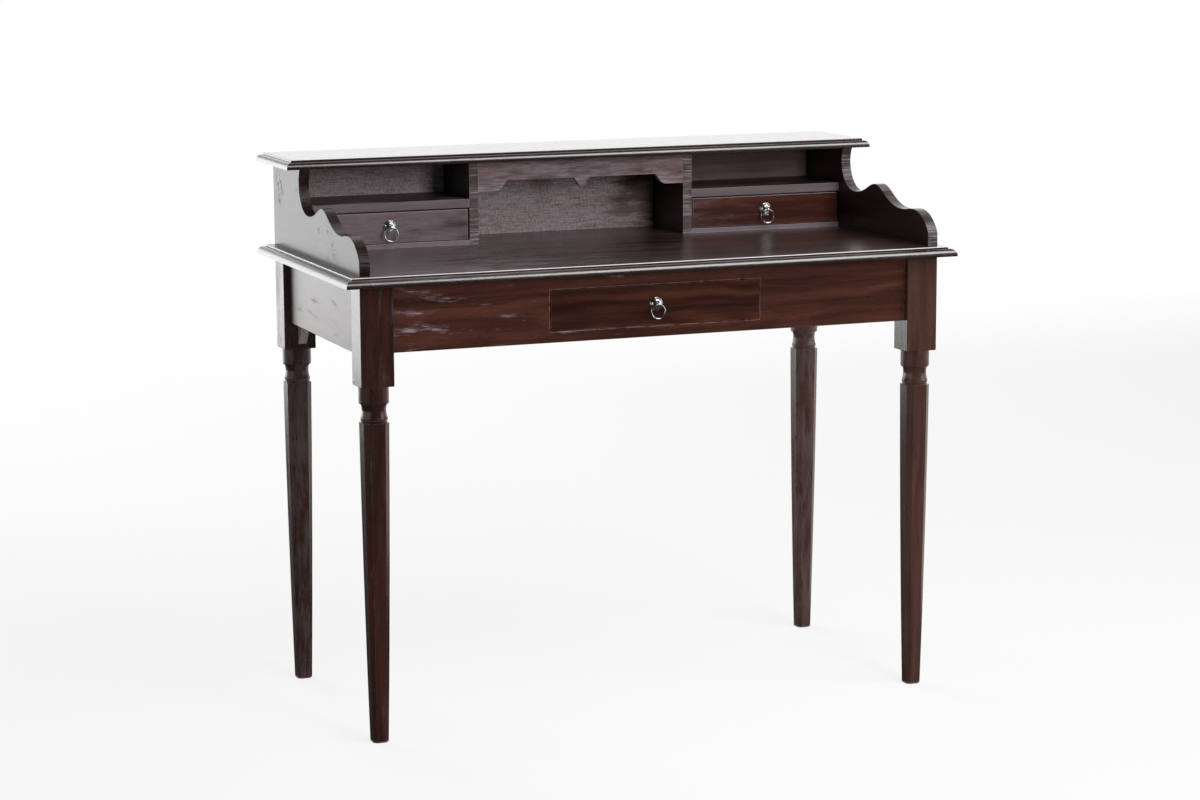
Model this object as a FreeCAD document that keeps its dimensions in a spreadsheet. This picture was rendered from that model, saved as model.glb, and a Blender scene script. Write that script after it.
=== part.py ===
"""A stained wooden writing desk with a raised gallery, made as separate bench pieces.

Four turned legs are tenoned to an apron frame that carries a moulded top.  The front apron holds one flush
drawer.  On the top stands a gallery: two scroll-sawn sides, a moulded board, a back, two dividers, a shelf
with a small drawer under it on each side, and a shaped valance over the open middle bay.  Every drawer has
a ring pull.

Frame: +X to the right, +Y to the back, +Z up; origin on the floor under the middle of the desk top.
All lengths are in millimetres.
"""
import FreeCAD, Part
import os
import re
from collections import namedtuple

import Sketcher

SIZES = {
    # desk top
    "desk_height": 760.0,
    "top_width": 1072.0,
    "top_depth": 524.0,
    "top_thick": 16.0,
    "top_fillet": 3.5,         # upright fillet below the top arris
    "top_quirk": 1.5,          # ledge between that fillet and the ovolo
    "top_ovolo": 10.5,
    "top_arris": 1.2,          # rounding of the top arris
    "end_overhang": 27.5,      # top beyond the outer faces of the legs
    "front_overhang": 21.0,
    "rear_overhang": 15.0,
    # legs
    "leg_width": 55.0,
    "leg_depth": 49.0,
    "block_length": 161.0,
    "neck_diameter": 48.5,
    "neck_length": 29.0,
    "cove_length": 30.0,
    "neck_round": 3.0,         # rounding of the neck's lower arris
    "waist_diameter": 39.0,    # the cove at its thinnest
    "waist_depth": 10.0,       # that place below the neck
    "bead_diameter": 44.0,     # ring that the cove flares out to
    "bead_height": 2.5,
    "plinth_diameter": 42.0,   # short drum between that ring and the shaft
    "plinth_height": 4.5,
    "shaft_flats": 42.6,       # eight-sided shaft, across flats, at its head
    "swell_flats": 36.5,       # the same half way down
    "foot_flats": 26.4,        # the same on the floor
    "shaft_corner": 0.21,      # share of the flats that a corner cut takes
    "foot_chamfer": 0.8,
    # apron frame
    "apron_height": 109.0,
    "side_drop": 5.5,          # side aprons below the front one
    "apron_thick": 20.0,
    "front_inset": 12.5,       # apron faces behind the leg faces
    "side_inset": 10.5,
    "rear_inset": 10.5,
    "lower_rail": 17.5,        # wood below and above the drawer opening
    "upper_rail": 22.5,
    "drawer_opening": 371.0,
    "tenon_thick": 9.0,
    "tenon_length": 22.0,
    "tenon_shoulder": 12.0,
    "mortise_relief": 1.0,     # free depth past the end of a tenon or tongue
    "joint_clearance": 0.15,   # each side of a tenon, tongue, panel or dowel
    # blocks glued under the side aprons, against the legs
    "knee_run": 26.0,
    "knee_drop": 37.0,
    "knee_tip": 3.0,
    "knee_thick": 14.0,
    # drawer runners, kickers and cleats under the top
    "runner_ledge": 20.0,
    "runner_guide": 20.0,
    "guide_rise": 27.0,
    "kicker_width": 20.0,
    "cleat_width": 18.0,
    "cleat_length": 260.0,
    "stop_length": 20.0,
    "stop_height": 12.0,
    # screws through the kickers and cleats
    "screw_margin": 25.0,      # outer screws from the ends of a cleat
    "screw_shank": 4.0,
    "screw_head": 8.0,
    "head_thick": 2.8,
    "screw_bite": 10.0,        # length in the desk top
    "head_recess": 4.5,
    # gallery
    "gallery_height": 142.0,
    "gallery_top_thick": 15.0,
    "gallery_end_overhang": 26.0,
    "gallery_front_overhang": 16.0,
    "gallery_top_fillet": 3.5,
    "gallery_top_quirk": 1.0,
    "gallery_top_ovolo": 9.0,
    "gallery_top_arris": 1.0,
    "gallery_depth": 144.0,    # fronts of the dividers from the rear faces of the legs
    "side_thick": 18.0,
    "back_thick": 8.0,
    "back_rebate": 9.0,
    "centre_bay": 378.0,
    "divider_thick": 17.0,
    "shelf_rise": 63.0,
    "shelf_thick": 15.0,
    "shelf_housing": 5.0,
    "housing_stop": 10.0,      # the housings stop this far behind the fronts
    "floor_thick": 8.0,
    "tongue_thick": 9.0,
    "tongue_height": 6.0,
    "tongue_inset": 12.0,
    # scrolled edge of the gallery sides, run from the top down to the front
    "waist_margin": 11.0,      # waist in front of the divider fronts
    "waist_lean": 7.0,
    "waist_drop": 24.0,
    "scoop_step": 50.0,
    "scoop_rise": 68.0,
    "crest_share": 0.446,      # place of the crest on the way from the scoop to the dip
    "crest_lift": 20.0,
    "dip_drop": 33.0,
    "end_step": 41.0,          # from the dip to the top of the rounded end
    "end_lift": 3.5,
    "toe_step": 58.0,          # from there to the toe
    "toe_rise": 23.0,
    # valance
    "valance_thick": 12.0,
    "valance_set": 0.5,
    "valance_depth": 35.0,
    "end_drop": 17.5,          # ears at the ends, below the straight edge
    "ear_width": 32.0,
    "ear_curve": 22.0,
    "pendant_drop": 16.5,
    "pendant_width": 35.0,
    "valance_tongue": 5.0,
    # dowels between the gallery and the desk top
    "dowel_diameter": 8.0,
    "dowel_length": 26.0,
    "dowel_bite": 10.0,        # length in the desk top
    "side_dowel_rear": 60.0,
    "side_dowel_toe": 68.0,    # the front one, behind the toe
    "divider_dowel_rear": 35.0,
    "divider_dowel_front": 115.0,
    # drawers
    "run_clearance": 0.3,      # drawer boxes above what they slide on
    "drawer_gap": 1.5,
    "drawer_low_gap": 1.0,
    "drawer_top_gap": 1.0,
    "drawer_rear_space": 65.0,
    "drawer_front": 20.0,
    "drawer_side": 10.0,
    "drawer_lap": 13.0,
    "small_gap": 2.2,
    "small_low_gap": 1.0,
    "small_top_gap": 2.5,
    "small_set": 1.0,          # small fronts behind the divider fronts
    "small_front": 14.0,
    "small_side": 8.0,
    "small_lap": 8.5,
    "side_top_drop": 2.0,      # drawer sides below the top edge of the front
    "back_top_drop": 3.0,
    "back_inset": 8.0,
    "back_housing": 3.0,
    "bottom_thick": 5.0,
    "bottom_groove": 4.0,
    "groove_rise": 7.0,
    "tail_flare": 1.6,         # widening of a dovetail, each side
    # ring pulls
    "pull_rise": 1.5,          # pull above the middle of its drawer front
    "rosette_diameter": 23.0,
    "rim_width": 1.6,          # rounded rim of the rosette
    "rim_rise": 1.2,
    "rim_groove": 0.8,         # height of the plate between the rim and the dome
    "dome_diameter": 19.4,
    "rosette_rise": 5.6,
    "boss_diameter": 7.0,
    "collar_diameter": 6.4,
    "eye_wall": 1.7,
    "eye_width": 5.6,
    "ring_play": 0.5,          # between the ring's wire and the eye
    "eye_reach": 9.2,
    "shank_diameter": 4.0,
    "shank_clearance": 0.2,
    "shank_end": 1.5,          # shank past the nut
    "nut_flats": 7.0,
    "nut_thick": 3.2,
    "thread_clearance": 0.05,
    "ring_diameter": 23.6,     # on the wire's centre line
    "ring_wire": 2.8,
    # broken arrises
    "block_edge": 1.2,
    "board_edge": 0.9,
}

# Places that follow from the sizes, each an expression in the words above.
DERIVED = {
    "under_top": "desk_height - top_thick",
    "leg_face_x": "top_width / 2 - end_overhang",
    "front_face_y": "front_overhang - top_depth / 2",
    "rear_face_y": "top_depth / 2 - rear_overhang",
    "leg_span_y": "rear_face_y - front_face_y",
    "block_floor": "under_top - block_length",
    "cove_top": "block_floor - neck_length",
    "shaft_top": "cove_top - cove_length",
    "apron_floor": "under_top - apron_height",
    "front_apron_y": "front_face_y + front_inset",
    "rear_apron_y": "rear_face_y - rear_inset",
    "side_apron_x": "leg_face_x - side_inset",
    "inside_front_y": "front_apron_y + apron_thick",
    "inside_rear_y": "rear_apron_y - apron_thick",
    "inside_length": "inside_rear_y - inside_front_y",
    "inside_mid_y": "(inside_front_y + inside_rear_y) / 2",
    "opening_floor": "apron_floor + lower_rail",
    "opening_height": "apron_height - lower_rail - upper_rail",
    "opening_half": "drawer_opening / 2",
    "kicker_x": "opening_half - kicker_width / 2",
    "cleat_x": "side_apron_x - apron_thick - cleat_width / 2",
    "screw_pitch": "cleat_length / 2 - screw_margin",
    "screw_length": "upper_rail - head_recess + screw_bite",
    "gallery_roof": "desk_height + gallery_height",
    "gallery_front_y": "rear_face_y - gallery_depth",
    "side_inner_x": "leg_face_x - side_thick",
    "divider_x": "(centre_bay + divider_thick) / 2",
    "divider_outer_x": "centre_bay / 2 + divider_thick",
    "small_bay": "side_inner_x - divider_outer_x",
    "small_bay_x": "(side_inner_x + divider_outer_x) / 2",
    "waist_reach": "gallery_depth + waist_margin",
    "side_head": "waist_reach + waist_lean",
    "side_dowel_front": "leg_span_y - side_dowel_toe",
    "gallery_top_half": "leg_face_x + gallery_end_overhang",
    "gallery_top_depth": "rear_overhang + side_head + gallery_front_overhang",
    "dowel_rise": "dowel_length - dowel_bite",
    "drawer_depth": "apron_thick + inside_length - drawer_rear_space",
    "eye_hole": "ring_wire + 2 * ring_play",
    "eye_diameter": "eye_hole + 2 * eye_wall",
}

Circle = namedtuple("Circle", "x y diameter")
NORMAL_SIGN = {"XY": 1, "XZ": -1, "YZ": 1}
QUARTER = 0.5523               # handle share that makes a cubic a quarter of an ellipse
SIDES = {"left": -1, "right": 1}
ENDS = {"front": -1, "rear": 1}

doc = FreeCAD.newDocument("writing_desk")
sheet = doc.addObject("Spreadsheet::Sheet", "sizes")
for row, (size_name, size) in enumerate(SIZES.items(), 1):
    sheet.set(f"A{row}", size_name)
    sheet.set(f"B{row}", str(size))
    sheet.setAlias(f"B{row}", size_name)
doc.recompute()
pieces = []


def bound(text):
    """Writes out the plain words of an expression as cells of the sheet."""
    def cell(match):
        word = match.group(0)
        if word in DERIVED:
            return "(" + bound(DERIVED[word]) + ")"
        return "sizes." + word if word in SIZES else word
    return re.sub(r"[a-z]\w*", cell, text)


def value(text):
    """The number that an expression stands for now."""
    return float(sheet.evalExpression(bound(text)))


# Sketches

def pin(sketch, geometry, position, point):
    """Holds one point of a sketch at a pair of expressions."""
    for kind, text in zip(("DistanceX", "DistanceY"), point):
        rule = Sketcher.Constraint(kind, -1, 1, geometry, position, value(text))
        index = sketch.addConstraint(rule)
        sketch.setExpression(f"Constraints[{index}]", bound(text))


def spot(point):
    return FreeCAD.Vector(value(point[0]), value(point[1]), 0)


def draw_cubic(sketch, poles):
    """Adds a cubic with its first three poles held in place; its end is joined to what follows."""
    curve = Part.BSplineCurve()
    curve.buildFromPolesMultsKnots([spot(pole) for pole in poles], [4, 4], [0.0, 1.0], False, 3)
    edge = sketch.addGeometry(curve, False)
    first_pole = len(sketch.Geometry)
    sketch.exposeInternalGeometry(edge)
    for index, pole in enumerate(poles[:3]):
        pin(sketch, first_pole + index, 3, pole)
    return edge


def draw_loop(sketch, loop):
    """Draws a closed outline: a pair is the end of a straight run, three pairs a cubic's handles and end."""
    edges = []
    start = loop[0]
    for step in loop[1:] + [loop[0]]:
        if isinstance(step, list):
            edges.append(draw_cubic(sketch, [start] + step))
            start = step[-1]
        else:
            edge = sketch.addGeometry(Part.LineSegment(spot(start), spot(step)), False)
            pin(sketch, edge, 1, start)
            edges.append(edge)
            start = step
    for edge, following in zip(edges, edges[1:] + edges[:1]):
        sketch.addConstraint(Sketcher.Constraint("Coincident", edge, 2, following, 1))


def flow(start, end, lead, trail):
    """A cubic that leaves and arrives level, with handles as shares of its run."""
    run = f"(({end[0]}) - ({start[0]}))"
    return [(f"{start[0]} + {lead} * {run}", start[1]), (f"{end[0]} - {trail} * {run}", end[1]), end]


def reverse(start, cubic):
    """The same cubic drawn from its end back to its start."""
    return [cubic[1], cubic[0], start]


def sketch_on(body, plane, at, loops):
    """A sketch on one of the body's own planes, moved along that plane's axis to the place given by at."""
    sketch = body.newObject("Sketcher::SketchObject", "outline")
    support = next(item for item in body.Origin.OriginFeatures if item.Role == plane + "_Plane")
    sketch.AttachmentSupport = [(support, "")]
    sketch.MapMode = "FlatFace"
    sketch.setExpression("AttachmentOffset.Base.z", bound(f"{NORMAL_SIGN[plane]} * ({at})"))
    for loop in loops:
        if isinstance(loop, Circle):
            centre = (loop.x, loop.y)
            ring = Part.Circle(spot(centre), FreeCAD.Vector(0, 0, 1), value(loop.diameter) / 2)
            edge = sketch.addGeometry(ring, False)
            pin(sketch, edge, 3, centre)
            index = sketch.addConstraint(Sketcher.Constraint("Diameter", edge, value(loop.diameter)))
            sketch.setExpression(f"Constraints[{index}]", bound(loop.diameter))
        else:
            draw_loop(sketch, loop)
    return sketch


def rectangle(left, right, low, high):
    return [(left, low), (right, low), (right, high), (left, high)]


# Features

def new_body(label, place=("0", "0", "0"), turn=0.0):
    """An empty body at a place of the desk, turned about the upright by whole quarter turns."""
    body = doc.addObject("PartDesign::Body", label)
    body.Label = label
    upright = FreeCAD.Vector(0, 0, 1)
    body.Placement = FreeCAD.Placement(FreeCAD.Vector(), FreeCAD.Rotation(upright, turn))
    for axis, text in zip("xyz", place):
        body.setExpression(f"Placement.Base.{axis}", bound(text))
    pieces.append(body)
    return body


def pad(body, plane, at, loops, length, toward=1):
    """Adds a straight thickness on the outlines, along the plane's axis or against it."""
    feature = body.newObject("PartDesign::Pad", "pad")
    feature.Profile = sketch_on(body, plane, at, loops)
    feature.setExpression("Length", bound(length))
    feature.Reversed = toward * NORMAL_SIGN[plane] < 0
    return feature


def pocket(body, plane, at, loops, depth, toward=1):
    """Cuts the outlines straight into the body, and makes sure that the cut met wood."""
    doc.recompute()
    before = body.Shape.Volume
    feature = body.newObject("PartDesign::Pocket", "pocket")
    feature.Profile = sketch_on(body, plane, at, loops)
    feature.setExpression("Length", bound(depth))
    feature.Reversed = toward * NORMAL_SIGN[plane] > 0
    doc.recompute()
    if body.Shape.Volume >= before:
        raise ValueError(f"{body.Label}: a pocket cut nothing")
    return feature


def revolve(body, plane, loop):
    """Turns an outline about the vertical axis of its sketch."""
    feature = body.newObject("PartDesign::Revolution", "turning")
    sketch = sketch_on(body, plane, "0", [loop])
    feature.Profile = sketch
    feature.ReferenceAxis = (sketch, ["V_Axis"])
    feature.Angle = 360.0
    return feature


def pick_edges(body, wanted):
    doc.recompute()
    return [f"Edge{index}" for index, edge in enumerate(body.Tip.Shape.Edges, 1) if wanted(edge)]


def round_edges(body, radius, wanted):
    base = (body.Tip, pick_edges(body, wanted))
    feature = body.newObject("PartDesign::Fillet", "rounding")
    feature.Base = base
    feature.setExpression("Radius", bound(radius))
    return feature


def chamfer_edges(body, size, wanted):
    base = (body.Tip, pick_edges(body, wanted))
    feature = body.newObject("PartDesign::Chamfer", "chamfer")
    feature.Base = base
    feature.setExpression("Size", bound(size))
    return feature


def span(edge, axis):
    """Lowest and highest place of an edge along an axis."""
    box = edge.BoundBox
    return getattr(box, axis + "Min"), getattr(box, axis + "Max")


def lies_at(edge, axis, text):
    """Whether an edge lies wholly in the plane that an expression gives."""
    return all(abs(end - value(text)) < 0.01 for end in span(edge, axis))


def runs_along(edge, axis):
    """Whether an edge is a straight run along an axis."""
    return all(span(edge, other)[1] - span(edge, other)[0] < 0.01 for other in "XYZ" if other != axis)


def primitive(kind, name, sizes, place, tilt=None):
    """A Part primitive with its sizes and place bound to the sheet; tilt lays its axis along -Y or +Y."""
    item = doc.addObject(kind, name)
    if tilt is not None:
        item.Placement = FreeCAD.Placement(FreeCAD.Vector(), FreeCAD.Rotation(FreeCAD.Vector(1, 0, 0), tilt))
    for size_word, text in sizes.items():
        item.setExpression(size_word, bound(text))
    for axis, text in zip("xyz", place):
        item.setExpression(f"Placement.Base.{axis}", bound(text))
    return item


def group(label, members):
    """One node of several like solids."""
    item = doc.addObject("Part::Compound", label)
    item.Label = label
    item.Links = members
    pieces.append(item)
    return item


# Legs and apron frame

def octagon(flats):
    """A square with cut corners, its sides square to the axes."""
    far = f"{flats} / 2"
    near = f"{flats} * (0.5 - shaft_corner)"
    quarter = [(far, near), (near, far)]
    corners = []
    for sign_x, sign_y in ((1, 1), (-1, 1), (-1, -1), (1, -1)):
        corner = [(f"{sign_x} * {x}", f"{sign_y} * {y}") for x, y in quarter]
        corners += corner if sign_x * sign_y > 0 else corner[::-1]
    return corners


def leg(label, side, end):
    """A leg on its own axis: square block, turned neck, cove and ring, tapered shaft, two mortises."""
    centre_y = {-1: "front_face_y + leg_depth / 2", 1: "rear_face_y - leg_depth / 2"}[end]
    body = new_body(label, (f"{side} * (leg_face_x - leg_width / 2)", centre_y, "0"))
    block = rectangle("-leg_width / 2", "leg_width / 2", "-leg_depth / 2", "leg_depth / 2")
    pad(body, "XY", "block_floor", [block], "block_length")
    round_edges(body, "block_edge", lambda edge: not lies_at(edge, "Z", "under_top"))

    neck, waist = "neck_diameter / 2", "waist_diameter / 2"
    bead, plinth = "bead_diameter / 2", "plinth_diameter / 2"
    soft = f"min(neck_round; 0.6 * ({neck} - {waist}))"
    waist_z = "(cove_top - waist_depth)"
    bead_floor = "(shaft_top + plinth_height)"
    bead_top = "(shaft_top + plinth_height + bead_height)"
    arris = [(neck, f"cove_top + 0.45 * {soft}"), (f"{neck} - 0.55 * {soft}", "cove_top"),
             (f"{neck} - {soft}", "cove_top")]
    upper = [(f"{waist} + 0.3 * ({neck} - {soft} - {waist})", "cove_top - 0.2 * waist_depth"),
             (waist, f"{waist_z} + 0.5 * waist_depth"), (waist, waist_z)]
    flare = f"({waist_z} - {bead_top})"
    lower = [(waist, f"{waist_z} - 0.5 * {flare}"),
             (f"{bead} - 0.4 * ({bead} - {waist})", f"{bead_top} + 0.2 * {flare}"), (bead, bead_top)]
    cylinder = [("0", "block_floor"), (neck, "block_floor"), (neck, f"cove_top + {soft}")]
    drum = [(bead, bead_floor), (plinth, bead_floor), (plinth, "shaft_top"), ("0", "shaft_top")]
    revolve(body, "XZ", cylinder + [arris, upper, lower] + drum)

    heads = (("shaft_top", "shaft_flats"), ("shaft_top / 2", "swell_flats"), ("0", "foot_flats"))
    sections = [sketch_on(body, "XY", at, [octagon(flats)]) for at, flats in heads]
    shaft = body.newObject("PartDesign::AdditiveLoft", "shaft")
    shaft.Profile = sections[0]
    shaft.Sections = sections[1:]
    chamfer_edges(body, "foot_chamfer", lambda edge: lies_at(edge, "Z", "0"))

    inset = {-1: "front_inset", 1: "rear_inset"}[end]
    half = "(tenon_thick / 2 + joint_clearance)"
    low = "apron_floor + tenon_shoulder - joint_clearance"
    high = "under_top - tenon_shoulder + joint_clearance"
    depth = "tenon_length + mortise_relief"
    along_y = f"{end} * (leg_depth / 2 - {inset} - apron_thick / 2)"
    along_x = f"{side} * (leg_width / 2 - side_inset - apron_thick / 2)"
    cross = rectangle(f"{along_y} - {half}", f"{along_y} + {half}", low, high)
    pocket(body, "YZ", f"{-side} * leg_width / 2", [cross], depth, side)
    cross = rectangle(f"{along_x} - {half}", f"{along_x} + {half}", low, high)
    pocket(body, "XZ", f"{-end} * leg_depth / 2", [cross], depth, end)


def apron(label, length, place, turn, floor="0", opening=False):
    """An apron board on its outer face, with a tenon at each end and, in front, the drawer opening."""
    body = new_body(label, place, turn)
    board = rectangle(f"-({length}) / 2", f"({length}) / 2", floor, "apron_height")
    pad(body, "XZ", "0", [board], "apron_thick")
    tenons = rectangle(f"-({length}) / 2 - tenon_length", f"({length}) / 2 + tenon_length",
                       "tenon_shoulder", "apron_height - tenon_shoulder")
    pad(body, "XZ", "(apron_thick - tenon_thick) / 2", [tenons], "tenon_thick")
    if opening:
        hole = rectangle("-opening_half", "opening_half", "lower_rail", "apron_height - upper_rail")
        pocket(body, "XZ", "0", [hole], "apron_thick")
    round_edges(body, "board_edge", lambda edge: lies_at(edge, "Z", floor) and runs_along(edge, "X"))


def knee_block(label, side, end):
    """A glue block under a side apron, against the leg: a right angle with its two tips cut blunt."""
    face_y = {-1: "front_face_y + leg_depth", 1: "rear_face_y - leg_depth"}[end]
    body = new_body(label, (f"{side} * (side_apron_x - apron_thick)", face_y, "apron_floor - side_drop"))
    outline = [("0", "0"), (f"{-end} * knee_run", "0"), (f"{-end} * knee_run", "-knee_tip"),
               (f"{-end} * knee_tip", "-knee_drop"), ("0", "-knee_drop")]
    pad(body, "YZ", "-knee_thick / 2", [outline], "knee_thick")


def runner(label, side):
    """An L-section that carries a drawer side and guides it, from the front apron to the rear one."""
    body = new_body(label, ("0", "inside_front_y", "apron_floor"))
    inner = f"{side} * (opening_half - runner_ledge)"
    guide = f"{side} * opening_half"
    outer = f"{side} * (opening_half + runner_guide)"
    guide_top = "lower_rail + guide_rise"
    section = [(inner, "0"), (outer, "0"), (outer, guide_top), (guide, guide_top), (guide, "lower_rail"),
               (inner, "lower_rail")]
    pad(body, "XZ", "0", [section], "inside_length")


def batten(label, middle_x, width, length):
    """A batten under the top with a row of counterbored screw holes, as deep as the upper rail."""
    body = new_body(label, (middle_x, "inside_mid_y", "under_top - upper_rail"))
    plan = rectangle(f"-{width} / 2", f"{width} / 2", f"-({length}) / 2", f"({length}) / 2")
    pad(body, "XY", "0", [plan], "upper_rail")
    stations = [f"{step} * screw_pitch" for step in (-1, 0, 1)]
    shanks = [Circle("0", y, "screw_shank + 2 * shank_clearance") for y in stations]
    heads = [Circle("0", y, "screw_head + 2 * shank_clearance") for y in stations]
    pocket(body, "XY", "0", shanks, "upper_rail")
    pocket(body, "XY", "0", heads, "head_recess")


def screw_places():
    """Where the screws through the battens stand."""
    for x in ("kicker_x", "cleat_x"):
        for side in SIDES.values():
            for step in (-1, 0, 1):
                yield f"{side} * {x}", f"inside_mid_y + {step} * screw_pitch"


def top_screws():
    """Pan-head screws from the battens up into the top."""
    screws = []
    seat = "under_top - upper_rail + head_recess"
    shank_sizes = {"Radius": "screw_shank / 2", "Height": "screw_length"}
    head_sizes = {"Radius": "screw_head / 2", "Height": "head_thick"}
    for x, y in screw_places():
        shank = primitive("Part::Cylinder", "screw_shank", shank_sizes, (x, y, seat))
        head = primitive("Part::Cylinder", "screw_head", head_sizes, (x, y, f"{seat} - head_thick"))
        screw = doc.addObject("Part::Fuse", "screw")
        screw.Base = shank
        screw.Tool = head
        screws.append(screw)
    group("top_screws", screws)


def drawer_stops():
    """Two blocks glued to the runners, where the ends of the drawer sides come home."""
    sizes = {"Length": "runner_ledge", "Width": "stop_length", "Height": "stop_height"}
    y = "front_apron_y + drawer_depth + run_clearance"
    corners = ("-opening_half", "opening_half - runner_ledge")
    group("drawer_stops", [primitive("Part::Box", "stop", sizes, (x, y, "opening_floor")) for x in corners])


# Desk top and gallery

def dowel_places():
    """Plan places of the dowels under the gallery, as distances in front of the rear faces."""
    rows = (("leg_face_x - side_thick / 2", ("side_dowel_rear", "side_dowel_front")),
            ("divider_x", ("divider_dowel_rear", "divider_dowel_front")))
    for x, reaches in rows:
        for side in SIDES.values():
            for reach in reaches:
                yield f"{side} * ({x})", f"rear_face_y - {reach}"


def moulded_board(body, word, left, right, front, rear):
    """A board with an ovolo on its lower part, then a small upright fillet, all round; word starts its sizes."""
    thick, ovolo = f"{word}_thick", f"{word}_ovolo"
    lower = f"{thick} - {word}_fillet"
    inset = f"({ovolo} + {word}_quirk)"
    pad(body, "XY", "0", [rectangle(left, right, front, rear)], lower)
    round_edges(body, f"min({ovolo}; 0.9 * ({lower}))", lambda edge: lies_at(edge, "Z", lower))
    upper = rectangle(f"{left} + {inset}", f"{right} - {inset}", f"{front} + {inset}", f"{rear} - {inset}")
    pad(body, "XY", lower, [upper], f"{word}_fillet")
    round_edges(body, f"min({word}_arris; 0.8 * {word}_fillet)", lambda edge: lies_at(edge, "Z", thick))


def desk_top():
    """The moulded top, bored for the gallery's dowels and for the screws from below."""
    body = new_body("desk_top", ("0", "0", "under_top"))
    moulded_board(body, "top", "-top_width / 2", "top_width / 2", "-top_depth / 2", "top_depth / 2")
    sockets = [Circle(x, y, "dowel_diameter + 2 * joint_clearance") for x, y in dowel_places()]
    pocket(body, "XY", "top_thick", sockets, "dowel_bite", -1)
    pilots = [Circle(x, y, "screw_shank + 2 * thread_clearance") for x, y in screw_places()]
    pocket(body, "XY", "0", pilots, "screw_bite")


def gallery_dowels():
    """Dowels that stand in the top and hold the gallery's sides and dividers."""
    pegs = [primitive("Part::Cylinder", "dowel", {"Radius": "dowel_diameter / 2", "Height": "dowel_length"},
                      (x, y, "desk_height - dowel_bite")) for x, y in dowel_places()]
    group("gallery_dowels", pegs)


def scrolled_edge():
    """The sawn edge from the head of a gallery side to its toe: waist, scoop, crest, dip and rounded end."""
    head = ("side_head", "gallery_height")
    waist = ("waist_reach", "(gallery_height - waist_drop)")
    scoop = ("(waist_reach + scoop_step)", "scoop_rise")
    end_top = ("(leg_span_y - toe_step)", "(scoop_rise + crest_lift - dip_drop + end_lift)")
    dip = (f"({end_top[0]} - end_step)", "(scoop_rise + crest_lift - dip_drop)")
    crest = (f"({scoop[0]} + crest_share * ({dip[0]} - {scoop[0]}))", "(scoop_rise + crest_lift)")
    toe = ("leg_span_y", "toe_rise")
    scoop_drop = f"({waist[1]} - {scoop[1]})"
    end_fall = f"({end_top[1]} - {toe[1]})"
    return [
        head,
        [("waist_reach + 0.35 * waist_lean", f"{waist[1]} + 0.6 * waist_drop"),
         (waist[0], f"{waist[1]} + 0.35 * waist_drop"), waist],
        [(waist[0], f"{waist[1]} - {QUARTER} * {scoop_drop}"),
         (f"{scoop[0]} - {QUARTER} * scoop_step", scoop[1]), scoop],
        flow(scoop, crest, lead=0.55, trail=0.3),
        flow(crest, dip, lead=0.28, trail=0.55),
        flow(dip, end_top, lead=0.45, trail=0.45),
        [(f"{end_top[0]} + 0.42 * toe_step", end_top[1]),
         (f"{toe[0]} - 0.19 * toe_step", f"{toe[1]} + 0.61 * {end_fall}"), toe],
    ]


def gallery_side(label, side):
    """A scroll-sawn side, drawn forwards from the rear face; its outer face is flush with the legs."""
    inward = -side
    body = new_body(label, (f"{side} * leg_face_x", "rear_face_y", "desk_height"), -90)
    inner = f"{inward} * side_thick"
    outline = [("0", "gallery_height")] + scrolled_edge() + [("leg_span_y", "0"), ("0", "0")]
    pad(body, "XZ", "0", [outline], "side_thick", inward)

    def sawn(edge):
        on_face = lies_at(edge, "Y", "0") or lies_at(edge, "Y", inner)
        forward = span(edge, "X")[1] > value("waist_reach") + 0.01
        level = lies_at(edge, "Z", "0") or lies_at(edge, "Z", "gallery_height")
        return on_face and forward and not level

    round_edges(body, "board_edge", sawn)
    cut = rectangle("0", "back_thick", f"{inward} * (side_thick - back_rebate)", inner)
    pocket(body, "XY", "0", [cut], "gallery_height")
    housing = rectangle("back_thick", "gallery_depth - housing_stop",
                        "shelf_rise", "shelf_rise + shelf_thick + joint_clearance")
    pocket(body, "XZ", inner, [housing], "shelf_housing + joint_clearance", -inward)
    middle = f"{inward} * side_thick / 2"
    tongue = rectangle("tongue_inset", "side_head - tongue_inset",
                       f"{middle} - tongue_thick / 2", f"{middle} + tongue_thick / 2")
    pad(body, "XY", "gallery_height", [tongue], "tongue_height")
    pegs = [Circle(reach, middle, "dowel_diameter + 2 * joint_clearance")
            for reach in ("side_dowel_rear", "side_dowel_front")]
    pocket(body, "XY", "0", pegs, "dowel_rise")


def gallery_top():
    """The gallery's board, moulded like the desk top and grooved below for the sides and dividers."""
    body = new_body("gallery_top", ("0", "top_depth / 2", "gallery_roof"))
    moulded_board(body, "gallery_top", "-gallery_top_half", "gallery_top_half", "-gallery_top_depth", "0")
    grooves = []
    for x, head in (("leg_face_x - side_thick / 2", "side_head"), ("divider_x", "gallery_depth")):
        for side in SIDES.values():
            half = "(tongue_thick / 2 + joint_clearance)"
            grooves.append(rectangle(f"{side} * ({x}) - {half}", f"{side} * ({x}) + {half}",
                                     f"-(rear_overhang + {head} - tongue_inset + joint_clearance)",
                                     "-(rear_overhang + tongue_inset - joint_clearance)"))
    pocket(body, "XY", "0", grooves, "tongue_height + mortise_relief")


def gallery_back():
    """A thin back, let into rebates of the sides."""
    body = new_body("gallery_back", ("0", "rear_face_y - back_thick", "desk_height"))
    half = "(side_inner_x + back_rebate - joint_clearance)"
    pad(body, "XZ", "0", [rectangle(f"-{half}", half, "0", "gallery_height")], "back_thick")


def break_front(body, wanted):
    """Breaks those arrises of a gallery board that lie in its front plane."""
    round_edges(body, "board_edge", lambda edge: lies_at(edge, "Y", "-gallery_depth") and wanted(edge))


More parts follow.
